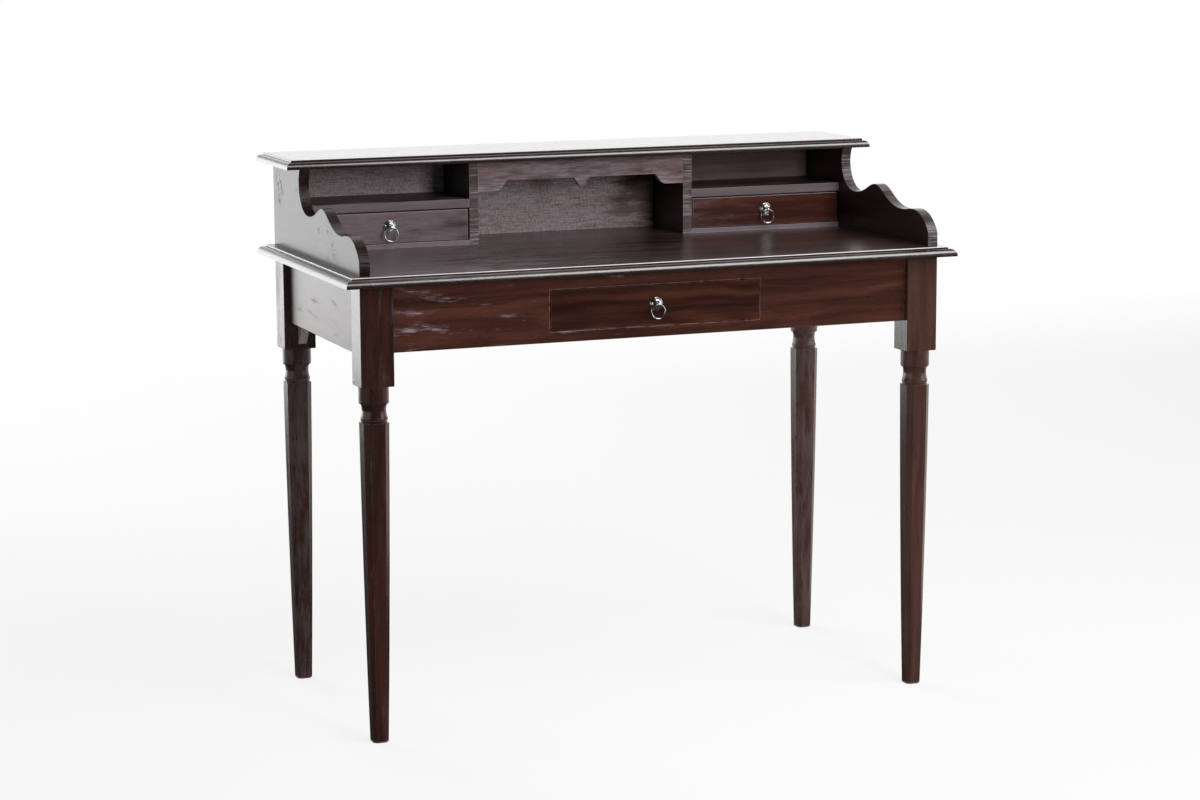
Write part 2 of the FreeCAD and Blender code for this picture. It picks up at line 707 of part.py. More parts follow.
def divider(label, side):
    """An upright between the middle bay and a side bay, housed for the shelf and the valance."""
    body = new_body(label, (f"{side} * divider_x", "rear_face_y", "desk_height"))
    board = rectangle("-gallery_depth", "-back_thick", "0", "gallery_height")
    pad(body, "YZ", "-divider_thick / 2", [board], "divider_thick")
    break_front(body, lambda edge: runs_along(edge, "Z"))
    half = "tongue_thick / 2"
    tongue = rectangle(f"-{half}", half, "tongue_inset - gallery_depth", "-tongue_inset")
    pad(body, "XY", "gallery_height", [tongue], "tongue_height")
    housing = rectangle("housing_stop - gallery_depth", "-back_thick",
                        "shelf_rise", "shelf_rise + shelf_thick + joint_clearance")
    pocket(body, "YZ", f"{side} * divider_thick / 2", [housing], "shelf_housing + joint_clearance", -side)
    front = "(valance_set + valance_thick / 4 - gallery_depth)"
    slot = rectangle(f"{front} - joint_clearance", f"{front} + valance_thick / 2 + joint_clearance",
                     "gallery_height - valance_depth", "gallery_height - tongue_inset + joint_clearance")
    pocket(body, "YZ", f"{-side} * divider_thick / 2", [slot], "valance_tongue + joint_clearance", side)
    pegs = [Circle("0", f"-{reach}", "dowel_diameter + 2 * joint_clearance")
            for reach in ("divider_dowel_rear", "divider_dowel_front")]
    pocket(body, "XY", "0", pegs, "dowel_rise")


def shelf(label, side):
    """A shelf over a small drawer, its ends housed in the side and the divider behind their fronts."""
    body = new_body(label, (f"{side} * small_bay_x", "rear_face_y", "desk_height + shelf_rise"))
    board = rectangle("-small_bay / 2", "small_bay / 2", "-gallery_depth", "-back_thick")
    pad(body, "XY", "0", [board], "shelf_thick")
    break_front(body, lambda edge: runs_along(edge, "X"))
    ends = rectangle("-small_bay / 2 - shelf_housing", "small_bay / 2 + shelf_housing",
                     "housing_stop + joint_clearance - gallery_depth", "-back_thick")
    pad(body, "XY", "0", [ends], "shelf_thick")


def drawer_floor(label, side):
    """The thin board on the desk top that a small drawer slides on."""
    body = new_body(label, (f"{side} * small_bay_x", "rear_face_y", "desk_height"))
    plan = rectangle("-small_bay / 2", "small_bay / 2", "-gallery_depth", "-back_thick")
    pad(body, "XY", "0", [plan], "floor_thick")
    break_front(body, lambda edge: lies_at(edge, "Z", "floor_thick"))


def valance():
    """The board over the middle bay: straight, with an ear at each end and a pendant in the middle."""
    body = new_body("valance", ("0", "gallery_front_y + valance_set", "gallery_roof"))
    edge_z, ear_z = "-valance_depth", "-(valance_depth + end_drop)"
    tip = ("0", "-(valance_depth + pendant_drop)")
    ear_x = "(centre_bay / 2 - ear_width)"

    def corners(side):
        """An end's foot and ear, then both ends of the straight edge."""
        return [(f"{side} * centre_bay / 2", ear_z), (f"{side} * {ear_x}", ear_z),
                (f"{side} * ({ear_x} - ear_curve)", edge_z), (f"{side} * pendant_width / 2", edge_z)]

    def ear_flow(ear, slope):
        return flow(ear, slope, lead=0.55, trail=0.3)

    def tip_flow(shoulder):
        return flow(shoulder, tip, lead=0.4, trail=0.35)

    foot, ear, slope, shoulder = corners(-1)
    far_foot, far_ear, far_slope, far_shoulder = corners(1)
    outline = [("-centre_bay / 2", "0"), foot, ear, ear_flow(ear, slope), shoulder, tip_flow(shoulder),
               reverse(far_shoulder, tip_flow(far_shoulder)), far_slope,
               reverse(far_ear, ear_flow(far_ear, far_slope)), far_foot, ("centre_bay / 2", "0")]
    pad(body, "XZ", "0", [outline], "valance_thick")
    tongues = rectangle("-centre_bay / 2 - valance_tongue", "centre_bay / 2 + valance_tongue",
                        "joint_clearance - valance_depth", "-tongue_inset")
    pad(body, "XZ", "valance_thick / 4", [tongues], "valance_thick / 2")


# Drawers

Drawer = namedtuple("Drawer", "name place width height depth front side lap low_gap tails")


def tail_outline(drawer, clearance):
    """Dovetails at the front end of a drawer side, one open outline for each, from below upwards."""
    low = f"(run_clearance - {drawer.low_gap})"
    pitch = f"(({drawer.height} - side_top_drop - {low}) / {drawer.tails})"
    root = drawer.front
    tip = f"({drawer.front} - {drawer.lap} - {clearance})"
    outlines = []
    for index in range(drawer.tails):
        middle = f"({low} + {index + 0.5} * {pitch})"
        narrow = f"(0.28 * {pitch} + {clearance})"
        wide = f"(0.28 * {pitch} + tail_flare + {clearance})"
        outlines.append([(root, f"{middle} - {narrow}"), (tip, f"{middle} - {wide}"),
                         (tip, f"{middle} + {wide}"), (root, f"{middle} + {narrow}")])
    return outlines


def pull_height(drawer):
    """Height of the pull above the lower edge of its drawer front."""
    return f"({drawer.height} / 2 + pull_rise)"


def drawer_front(drawer):
    """The front: dovetail sockets in its ends, a groove for the bottom and a hole for the pull."""
    body = new_body(f"{drawer.name}_front", drawer.place)
    half = f"({drawer.width} / 2)"
    pad(body, "XZ", "0", [rectangle(f"-{half}", half, "0", drawer.height)], drawer.front)
    round_edges(body, "board_edge", lambda edge: lies_at(edge, "Y", "0"))
    for side in SIDES.values():
        pocket(body, "YZ", f"{side} * {half}", tail_outline(drawer, "joint_clearance"),
               f"{drawer.side} + joint_clearance", -side)
    inner = f"({half} - {drawer.side} + bottom_groove)"
    groove = rectangle(f"-{inner}", inner, "groove_rise", "groove_rise + bottom_thick + joint_clearance")
    pocket(body, "XZ", drawer.front, [groove], "bottom_groove", -1)
    pocket(body, "XZ", "0", [Circle("0", pull_height(drawer), "shank_diameter + 2 * shank_clearance")],
           drawer.front)


def drawer_side(drawer, side_word, side):
    """A side: dovetails in front, a groove for the bottom and a housing for the back on its inner face."""
    body = new_body(f"{drawer.name}_{side_word}_side", drawer.place)
    low = f"run_clearance - {drawer.low_gap}"
    high = f"{drawer.height} - side_top_drop"
    outer = f"{side} * {drawer.width} / 2"
    inner = f"{side} * ({drawer.width} / 2 - {drawer.side})"
    start = drawer.front
    outline = [(start, low)]
    for tail in tail_outline(drawer, "0"):
        outline += tail
    outline += [(start, high), (drawer.depth, high), (drawer.depth, low)]
    pad(body, "YZ", outer, [outline], drawer.side, -side)
    groove = rectangle(f"{drawer.front} - bottom_groove", drawer.depth,
                       "groove_rise", "groove_rise + bottom_thick + joint_clearance")
    pocket(body, "YZ", inner, [groove], "bottom_groove", side)
    housing = rectangle(f"{drawer.depth} - back_inset - {drawer.side} - joint_clearance",
                        f"{drawer.depth} - back_inset", "groove_rise + bottom_thick", high)
    pocket(body, "YZ", inner, [housing], "back_housing", side)


def drawer_back(drawer):
    """The back stands on the bottom board, between the sides."""
    body = new_body(f"{drawer.name}_back", drawer.place)
    half = f"({drawer.width} / 2 - {drawer.side} + back_housing - joint_clearance)"
    top = f"{drawer.height} - side_top_drop - back_top_drop"
    board = rectangle(f"-{half}", half, "groove_rise + bottom_thick", top)
    pad(body, "XZ", f"{drawer.depth} - back_inset", [board], drawer.side, -1)


def drawer_bottom(drawer):
    """The bottom lies in the grooves and runs out under the back."""
    body = new_body(f"{drawer.name}_bottom", drawer.place)
    half = f"({drawer.width} / 2 - {drawer.side} + bottom_groove - joint_clearance)"
    plan = rectangle(f"-{half}", half, f"{drawer.front} - bottom_groove + joint_clearance", drawer.depth)
    pad(body, "XY", "groove_rise", [plan], "bottom_thick")


def rosette(label, centre):
    """A turned plate: rounded rim, narrow groove, and a dome with a flat boss for the eye bolt's collar."""
    body = new_body(label, centre)
    bore = "(shank_diameter / 2 + shank_clearance)"
    rim, dome, boss = "rosette_diameter / 2", "dome_diameter / 2", "boss_diameter / 2"
    crown = "-4 / 3 * rim_rise"
    over = [(rim, crown), (f"{rim} - rim_width", crown), (f"{rim} - rim_width", "-rim_groove")]
    swell = [(dome, "-rim_groove - 0.6 * (rosette_rise - rim_groove)"),
             (f"{boss} + 0.5 * ({dome} - {boss})", "-rosette_rise"), (boss, "-rosette_rise")]
    plate = [(bore, "0"), (rim, "0"), over, (dome, "-rim_groove")]
    revolve(body, "XY", plate + [swell, (bore, "-rosette_rise")])


def eye_bolt(label, centre, front):
    """A bolt through the drawer front with a collar and a flattened ball that is bored for the ring."""
    body = new_body(label, centre)
    tip = f"{front} + nut_thick + shank_end"
    shank, collar = "shank_diameter / 2", "collar_diameter / 2"
    revolve(body, "XY", [("0", tip), (shank, tip), (shank, "-rosette_rise"), (collar, "-rosette_rise"),
                         (collar, "-eye_reach"), ("0", "-eye_reach")])
    ball = body.newObject("PartDesign::AdditiveSphere", "ball")
    ball.setExpression("Radius", bound("eye_diameter / 2"))
    ball.setExpression("Placement.Base.y", bound("-eye_reach"))
    cheek_rear = "-rosette_rise - 0.2 * (eye_reach - rosette_rise)"
    cheek_front = "-eye_reach - eye_diameter"
    cheeks = [rectangle(f"{sign} * eye_width / 2", f"{sign} * eye_diameter", cheek_front, cheek_rear)
              for sign in SIDES.values()]
    pocket(body, "XY", "-eye_diameter", cheeks, "2 * eye_diameter")
    pocket(body, "YZ", "-eye_diameter", [Circle("-eye_reach", "0", "eye_hole")], "2 * eye_diameter")


def hexagon_nut(label, centre, front):
    """The nut on the inner face of a drawer front."""
    body = new_body(label, centre)
    far, near = "nut_flats / sqrt(3)", "nut_flats / 2"
    corners = [(far, "0"), (f"{far} / 2", near), (f"-{far} / 2", near),
               (f"-{far}", "0"), (f"-{far} / 2", f"-{near}"), (f"{far} / 2", f"-{near}")]
    pad(body, "XZ", front, [corners], "nut_thick")
    pocket(body, "XZ", front, [Circle("0", "0", "shank_diameter + 2 * thread_clearance")], "nut_thick")


def hanging_ring(label, centre):
    """A ring of round wire that hangs in the eye, its plane along the drawer front."""
    x, y, z = centre
    place = (x, f"{y} - eye_reach", f"{z} - ring_diameter / 2")
    sizes = {"Radius1": "ring_diameter / 2", "Radius2": "ring_wire / 2"}
    ring = primitive("Part::Torus", label, sizes, place, tilt=90)
    ring.Label = label
    pieces.append(ring)


def build_drawer(drawer):
    drawer_front(drawer)
    for side_word, side in SIDES.items():
        drawer_side(drawer, side_word, side)
    drawer_back(drawer)
    drawer_bottom(drawer)
    x, y, z = drawer.place
    pull_centre = (x, y, f"{z} + {pull_height(drawer)}")
    rosette(f"{drawer.name}_rosette", pull_centre)
    eye_bolt(f"{drawer.name}_eye", pull_centre, drawer.front)
    hexagon_nut(f"{drawer.name}_nut", pull_centre, drawer.front)
    hanging_ring(f"{drawer.name}_ring", pull_centre)


def build_desk():
    for end_word, end in ENDS.items():
        for side_word, side in SIDES.items():
            leg(f"leg_{end_word}_{side_word}", side, end)
            knee_block(f"knee_{end_word}_{side_word}", side, end)
    wide = "2 * (leg_face_x - leg_width)"
    deep = "leg_span_y - 2 * leg_depth"
    middle_y = "(front_face_y + rear_face_y) / 2"
    apron("front_apron", wide, ("0", "front_apron_y", "apron_floor"), 0, opening=True)
    apron("rear_apron", wide, ("0", "rear_apron_y", "apron_floor"), 180)
    apron("left_apron", deep, ("-side_apron_x", middle_y, "apron_floor"), -90, floor="-side_drop")
    apron("right_apron", deep, ("side_apron_x", middle_y, "apron_floor"), 90, floor="-side_drop")
    desk_top()
    for side_word, side in SIDES.items():
        runner(f"{side_word}_runner", side)
        batten(f"{side_word}_kicker", f"{side} * kicker_x", "kicker_width", "inside_length")
        batten(f"{side_word}_cleat", f"{side} * cleat_x", "cleat_width", "cleat_length")
    top_screws()
    drawer_stops()


def build_gallery():
    for side_word, side in SIDES.items():
        gallery_side(f"gallery_{side_word}_side", side)
        divider(f"{side_word}_divider", side)
        shelf(f"{side_word}_shelf", side)
        drawer_floor(f"{side_word}_drawer_floor", side)
    gallery_top()
    gallery_back()
    valance()
    gallery_dowels()


def build_drawers():
    main_place = ("0", "front_apron_y", "opening_floor + drawer_low_gap")
    build_drawer(Drawer("main_drawer", main_place, "(drawer_opening - 2 * drawer_gap)",
                        "(opening_height - drawer_low_gap - drawer_top_gap)", "drawer_depth", "drawer_front",
                        "drawer_side", "drawer_lap", "drawer_low_gap", 2))
    small_z = "desk_height + floor_thick + small_low_gap"
    for side_word, side in SIDES.items():
        place = (f"{side} * small_bay_x", "gallery_front_y + small_set", small_z)
        build_drawer(Drawer(f"{side_word}_drawer", place, "(small_bay - 2 * small_gap)",
                            "(shelf_rise - floor_thick - small_low_gap - small_top_gap)",
                            "(gallery_depth - back_thick - small_set - run_clearance)", "small_front",
                            "small_side", "small_lap", "small_low_gap", 2))


def write_parts():
    """Checks every object and shape, then writes one STEP file for each piece."""
    doc.recompute()
    failed = [item.Label for item in doc.Objects if {"Invalid", "Error"} & set(item.State)]
    failed += [piece.Label for piece in pieces if piece.Shape.isNull() or not piece.Shape.isValid()]
    if failed:
        raise RuntimeError("these did not build: " + ", ".join(failed))
    os.makedirs("parts", exist_ok=True)
    for piece in pieces:
        piece.Shape.exportStep(f"parts/{piece.Label}.step")


build_desk()
build_gallery()
build_drawers()
write_parts()
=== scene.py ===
"""Looks of a small stained hardwood writing desk with a raised gallery and three drawers.

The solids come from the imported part. This file gives every one of them a worked finish, adds the heads of
the pins in the leg blocks, and sets the desk in plain studio light on a pale floor. Lengths are in metres.
"""
import math
from collections import namedtuple

import bpy
import numpy as np
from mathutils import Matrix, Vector


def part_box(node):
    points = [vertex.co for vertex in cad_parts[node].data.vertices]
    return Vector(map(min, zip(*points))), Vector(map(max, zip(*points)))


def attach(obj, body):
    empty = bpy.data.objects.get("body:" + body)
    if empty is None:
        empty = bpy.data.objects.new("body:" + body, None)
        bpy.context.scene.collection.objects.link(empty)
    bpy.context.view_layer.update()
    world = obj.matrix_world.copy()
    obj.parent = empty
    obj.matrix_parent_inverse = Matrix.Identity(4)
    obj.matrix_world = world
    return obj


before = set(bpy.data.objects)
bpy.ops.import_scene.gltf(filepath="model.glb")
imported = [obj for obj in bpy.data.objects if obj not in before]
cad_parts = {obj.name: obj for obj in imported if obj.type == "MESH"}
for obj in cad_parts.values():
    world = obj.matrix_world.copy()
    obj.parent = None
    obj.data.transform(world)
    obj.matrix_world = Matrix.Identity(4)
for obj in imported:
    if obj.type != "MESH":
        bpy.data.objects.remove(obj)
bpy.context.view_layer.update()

TOP_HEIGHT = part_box("desk_top")[1][2]

# Linear colours of stain, of haze and its painted sheen, of bare wood and metal, and of a painted highlight.
SOOT = (0.0045, 0.0024, 0.0020)
UMBER = (0.0110, 0.0034, 0.0022)
MAROON = (0.0300, 0.0085, 0.0055)
CHESTNUT = (0.0520, 0.0170, 0.0110)
EMBER = (0.0840, 0.0295, 0.0185)
RUSSET = (0.0850, 0.0370, 0.0290)
WALNUT = (0.0350, 0.0200, 0.0165)
TAUPE = (0.0850, 0.0620, 0.0600)
ROSE = (0.1700, 0.0950, 0.0850)
MAUVE = (0.1250, 0.0850, 0.0800)
ASH = (0.1600, 0.1300, 0.1450)
LILAC = (0.2600, 0.2150, 0.2450)
DUST = (0.4000, 0.3450, 0.3900)
TAN = (0.3000, 0.1900, 0.1550)
# A painted highlight colour, laid along the rounded top arris of the desk top.
HIGHLIGHT_CHALK = (0.6200, 0.5900, 0.6200)
PALE_DARK = (0.2000, 0.1150, 0.0600)
PALE_WARM = (0.3600, 0.2250, 0.1250)
NICKEL_BRIGHT = (0.86, 0.86, 0.88)
NICKEL_DULL = (0.58, 0.59, 0.60)
STEEL_BRIGHT = (0.50, 0.49, 0.46)
STEEL_DULL = (0.34, 0.33, 0.31)


class Recipe:
    """A node tree being written: each step adds nodes and gives back the socket that holds its result."""

    def __init__(self, tree):
        self.tree = tree

    def feed(self, socket, value):
        if isinstance(value, bpy.types.NodeSocket):
            self.tree.links.new(value, socket)
        else:
            socket.default_value = value

    def add(self, kind, inputs=None, **settings):
        node = self.tree.nodes.new(kind)
        for name, value in settings.items():
            setattr(node, name, value)
        for key, value in (inputs or {}).items():
            self.feed(node.inputs[key], value)
        return node

    def math(self, operation, first, second=0.0):
        return self.add("ShaderNodeMath", {0: first, 1: second}, operation=operation).outputs[0]

    def plus(self, first, second):
        return self.math("ADD", first, second)

    def minus(self, first, second):
        return self.math("SUBTRACT", first, second)

    def times(self, first, second):
        return self.math("MULTIPLY", first, second)

    def vector(self, operation, first, second):
        return self.add("ShaderNodeVectorMath", {0: first, 1: second}, operation=operation).outputs[0]

    def split(self, vector):
        return self.add("ShaderNodeSeparateXYZ", {0: vector}).outputs

    def join(self, x, y, z):
        return self.add("ShaderNodeCombineXYZ", {0: x, 1: y, 2: z}).outputs[0]

    def shifted(self, place, board, pace):
        """The place moved by the board's number times pace, so that no two boards look alike."""
        return self.vector("ADD", place, self.join(*(self.times(board, part) for part in pace)))

    def noise(self, place, pitch, detail=3.0, roughness=0.55):
        """Noise with its own number of waves per metre along each axis."""
        stretched = self.vector("MULTIPLY", place, pitch)
        inputs = {"Vector": stretched, "Scale": 1.0, "Detail": detail, "Roughness": roughness}
        return self.add("ShaderNodeTexNoise", inputs).outputs[0]

    def step(self, value, low, high):
        """0 at low, 1 at high, and a smooth rise between."""
        inputs = {"Value": value, "From Min": low, "From Max": high}
        return self.add("ShaderNodeMapRange", inputs, interpolation_type="SMOOTHSTEP").outputs[0]

    def range(self, value, low, high):
        """0 to 1 becomes low to high."""
        return self.add("ShaderNodeMapRange", {"Value": value, "To Min": low, "To Max": high}).outputs[0]

    def blend(self, share, first, second):
        """A colour that goes from first to second as share goes from 0 to 1."""
        inputs = {0: share}
        inputs[6] = first if isinstance(first, bpy.types.NodeSocket) else (*first, 1.0)
        inputs[7] = second if isinstance(second, bpy.types.NodeSocket) else (*second, 1.0)
        return self.add("ShaderNodeMix", inputs, data_type="RGBA").outputs[2]


def new_group(name, inputs, outputs):
    """An empty node group with named sockets: its recipe, the sockets to read and the sockets to feed."""
    tree = bpy.data.node_groups.new(name, "ShaderNodeTree")
    for label, kind in inputs:
        tree.interface.new_socket(label, in_out="INPUT", socket_type="NodeSocket" + kind)
    for label in outputs:
        tree.interface.new_socket(label, in_out="OUTPUT", socket_type="NodeSocketFloat")
    recipe = Recipe(tree)
    entry = recipe.add("NodeGroupInput")
    leave = recipe.add("NodeGroupOutput")
    return recipe, entry.outputs, leave.inputs


# Waves per metre of the noises in the wood, along the grain and in the two directions across it.
WANDER_PITCH = (3.0, 8.0, 8.0)
BROAD_PITCH = (2.2, 48.0, 48.0)
NARROW_PITCH = (7.0, 240.0, 240.0)
FIBRE_PITCH = (28.0, 820.0, 820.0)
PORE_PITCH = (55.0, 1100.0, 1100.0)
HAZE_PITCH = (11.0, 58.0, 58.0)
THREAD_PITCH = (34.0, 380.0, 380.0)
PLANING_PITCH = (420.0, 150.0, 150.0)

# Waves per metre of the other noises, along X, Y and Z.
SAW_PITCH = (16.0, 420.0, 420.0)
SAW_PATCH_PITCH = (20.0, 70.0, 70.0)
CLUSTER_PITCH = (16.0, 16.0, 16.0)
SPOT_PITCH = (170.0, 170.0, 170.0)
WEAR_PITCH = (90.0, 90.0, 90.0)
CLOUD_PITCH = (260.0, 260.0, 260.0)
HAIR_PITCH = (2600.0, 500.0, 2600.0)

# How far a board's number moves its grain and its haze.
GRAIN_PACE = (3.17, 1.31, 1.0)
HAZE_PACE = (1.0, 2.3, 0.7)

# How far the streaks and the rings wander, the width of a ring, and the share of the broad streaks.
STREAK_SWAY = 0.05
RING_SWAY = 0.09
RING_WIDTH = 0.016
BROAD_SHARE = 0.80

# Haze and spots show where their noise passes a bound, which falls by a gain times the cover. The edge of a
# patch is this soft, and with haze softer still by the spread times its share of even film.
HAZE_BOUND = 0.85
HAZE_GAIN = 0.6
HAZE_EDGE = 0.16
HAZE_SPREAD = 0.5
SPOT_BOUND = 0.80
SPOT_GAIN = 0.5
SPOT_EDGE = 0.20

# Samples that feel how far a face bends at an edge.
WEAR_SAMPLES = 6


def make_grain_group():
    """Wood grain along X: long streaks, rings about the pith, fine fibres and short pores, from 0 to 1."""
    sockets = (("Along", "Vector"), ("Board", "Float"), ("Pith", "Vector"))
    recipe, given, out = new_group("wood_grain", sockets, ("Streak", "Figure", "Fibre", "Pore"))
    place = recipe.shifted(given["Along"], given["Board"], GRAIN_PACE)
    wander = recipe.minus(recipe.noise(place, WANDER_PITCH, detail=2.0), 0.5)
    sway = recipe.times(wander, STREAK_SWAY)
    bent = recipe.vector("ADD", place, recipe.join(0.0, sway, sway))
    broad = recipe.noise(bent, BROAD_PITCH, detail=3.0, roughness=0.5)
    narrow = recipe.noise(bent, NARROW_PITCH, detail=3.0, roughness=0.6)
    streak = recipe.plus(recipe.times(broad, BROAD_SHARE), recipe.times(narrow, 1.0 - BROAD_SHARE))
    _, across, up = recipe.split(recipe.vector("SUBTRACT", given["Along"], given["Pith"]))
    squared = recipe.plus(recipe.times(across, across), recipe.times(up, up))
    radius = recipe.plus(recipe.math("SQRT", squared), recipe.times(wander, RING_SWAY))
    rings = recipe.math("SINE", recipe.times(radius, 2.0 * math.pi / RING_WIDTH))
    pore = recipe.noise(bent, PORE_PITCH, detail=1.0, roughness=0.5)
    recipe.feed(out["Streak"], recipe.step(streak, low=0.33, high=0.67))
    recipe.feed(out["Figure"], recipe.plus(recipe.times(rings, 0.5), 0.5))
    recipe.feed(out["Fibre"], recipe.noise(bent, FIBRE_PITCH, detail=3.0, roughness=0.65))
    recipe.feed(out["Pore"], recipe.step(pore, low=0.60, high=0.72))
    return recipe.tree


def make_haze_and_sheen_group():
    """Pale haze, partly a rubbed film where the finish is thin and partly a painted sheen that stands in for
    soft reflections: patches of fine pale threads along X, with a share of planing marks across the board
    and a share of even film. Cover sets how much shows."""
    sockets = (("Along", "Vector"), ("Board", "Float"), ("Cover", "Float"), ("Across", "Float"),
               ("Even", "Float"))
    recipe, given, out = new_group("haze_and_painted_sheen", sockets, ("Haze",))
    place = recipe.shifted(given["Along"], given["Board"], HAZE_PACE)
    patch = recipe.noise(place, HAZE_PITCH, detail=4.0, roughness=0.65)
    bound = recipe.minus(HAZE_BOUND, recipe.times(given["Cover"], HAZE_GAIN))
    soft = recipe.plus(HAZE_EDGE, recipe.times(given["Even"], HAZE_SPREAD))
    held = recipe.step(recipe.minus(patch, bound), low=0.0, high=soft)
    threads = recipe.step(recipe.noise(place, THREAD_PITCH, detail=5.0, roughness=0.75), low=0.38, high=0.66)
    marks = recipe.step(recipe.noise(place, PLANING_PITCH, detail=3.0, roughness=0.65), low=0.34, high=0.68)
    rubbed = recipe.plus(threads, recipe.times(recipe.minus(marks, threads), given["Across"]))
    film = recipe.times(recipe.minus(1.0, rubbed), given["Even"])
    recipe.feed(out["Haze"], recipe.times(held, recipe.plus(rubbed, film)))
    return recipe.tree


def make_ripple_group():
    """Sawn edges of a board: Edge is 1 where the face turns away from the board's flat side, given by the
    share of the normal along that side. Ripple is fine lines across the thickness there."""
    sockets = (("Place", "Vector"), ("Flat", "Float"))
    recipe, given, out = new_group("saw_ripple", sockets, ("Ripple", "Edge"))
    fine = recipe.noise(given["Place"], SAW_PITCH, detail=4.0, roughness=0.7)
    coarse = recipe.noise(given["Place"], SAW_PATCH_PITCH, detail=2.0, roughness=0.5)
    lines = recipe.times(recipe.step(fine, low=0.44, high=0.64), recipe.step(coarse, low=0.32, high=0.60))
    turned = recipe.minus(1.0, recipe.math("ABSOLUTE", given["Flat"]))
    edge = recipe.step(turned, low=0.10, high=0.40)
    recipe.feed(out["Ripple"], recipe.times(lines, edge))
    recipe.feed(out["Edge"], edge)
    return recipe.tree


def make_spot_group():
    """Small bare spots in the varnish, in loose clusters."""
    sockets = (("Place", "Vector"), ("Cover", "Float"))
    recipe, given, out = new_group("bare_spots", sockets, ("Spot",))
    cluster = recipe.noise(given["Place"], CLUSTER_PITCH, detail=2.0, roughness=0.5)
    bound = recipe.minus(SPOT_BOUND, recipe.times(given["Cover"], SPOT_GAIN))
    near = recipe.step(recipe.minus(cluster, bound), low=0.0, high=SPOT_EDGE)
    speckle = recipe.noise(given["Place"], SPOT_PITCH, detail=2.0, roughness=0.6)
    recipe.feed(out["Spot"], recipe.times(near, recipe.step(speckle, low=0.52, high=0.62)))
    return recipe.tree


def make_wear_group():
    """Edge wear: 1 on a sharp outer edge, broken up by noise, and 0 a little way in from it."""
    sockets = (("Place", "Vector"), ("Reach", "Float"))
    recipe, given, out = new_group("edge_wear", sockets, ("Wear",))
    rounded = recipe.add("ShaderNodeBevel", {"Radius": given["Reach"]}, samples=WEAR_SAMPLES).outputs[0]
    plain = recipe.add("ShaderNodeNewGeometry").outputs["Normal"]
    product = recipe.add("ShaderNodeVectorMath", {0: rounded, 1: plain}, operation="DOT_PRODUCT")
    bend = recipe.step(recipe.minus(1.0, product.outputs["Value"]), low=0.015, high=0.16)
    gaps = recipe.noise(given["Place"], WEAR_PITCH, detail=3.0, roughness=0.6)
    recipe.feed(out["Wear"], recipe.times(bend, recipe.step(gaps, low=0.32, high=0.54)))
    return recipe.tree


GRAIN = make_grain_group()
HAZE_AND_SHEEN = make_haze_and_sheen_group()
RIPPLE = make_ripple_group()
SPOT = make_spot_group()
WEAR = make_wear_group()

# Order of X, Y and Z in the grain's own axes, by the axis that the grain runs along.
ALONG = {"X": (0, 1, 2), "Y": (1, 0, 2), "Z": (2, 0, 1)}


def new_material(name):
    material = bpy.data.materials.new(name)
    material.use_nodes = True
    material.node_tree.nodes.clear()
    recipe = Recipe(material.node_tree)
    shader = recipe.add("ShaderNodeBsdfPrincipled")
    recipe.add("ShaderNodeOutputMaterial", {"Surface": shader.outputs[0]})
    return material, recipe, shader


def place_group(recipe, tree, inputs):
    return recipe.add("ShaderNodeGroup", inputs, node_tree=tree).outputs


def grain_axes(recipe, grain):
    """The texture coordinates, the object's X, Y and Z, and the place in the grain's own axes."""
    entry = recipe.add("ShaderNodeTexCoord").outputs
    axes = recipe.split(entry["Object"])
    return entry, axes, recipe.join(*(axes[index] for index in ALONG[grain]))


def join_shader(recipe, shader, colour, rough, bump):
    """Feeds the shader with a colour, a roughness and the normal of a bump."""
    recipe.feed(shader.inputs["Base Color"], colour)
    recipe.feed(shader.inputs["Roughness"], rough)
    recipe.feed(shader.inputs["Normal"], recipe.add("ShaderNodeBump", bump).outputs[0])


# dark, warm, light: the stain, from its dark streaks to its rings, and figure: how much the rings show.
# haze, lean, across, even, tint: the haze's cover, its change per metre along X, its planing marks, its film
# and its colour. The haze is partly rubbed film and partly painted sheen, and its change along X paints
# light across the desk, lighter towards the left. rough, index: the varnish.
# wear, worn, reach: how much the edges wear, the colour of that wear and of a painted arris highlight, and
# how far in. spots: cover of bare spots. crest: the height of a rounded top arris that gets this painted
# highlight, or None.
# flat, edge, trim, ripple: the axis of the board's flat sides, or None, and for its other faces how much
# they are trimmed, in which colour, and how strong their ripple is. The ripple is sawn relief whose lines
# are also painted pale, a painted highlight on the ridges.
Finish = namedtuple("Finish", "dark warm light figure haze lean across even tint rough index "
                              "wear worn reach spots crest flat edge trim ripple")

# How strongly pores, haze and spots colour the wood, the haze being partly painted sheen, and how much haze,
# fibres, ripple and spots roughen it.
PORE_SHADE = 0.5
HAZE_SHADE = 0.9
SPOT_SHADE = 0.6
HAZE_ROUGH = 0.20
FIBRE_ROUGH = 0.10
RIPPLE_ROUGH = 0.25
SPOT_ROUGH = 0.25

# The relief of the wood, how deep the pores are in it, and how far under its height the painted highlight on
# a rounded arris reaches.
WOOD_RELIEF = 0.25
RELIEF_DEPTH = 0.0003
PORE_DEPTH = 0.6
HIGHLIGHT_CREST_NONE = 0.0016
HIGHLIGHT_CREST_FULL = 0.0010


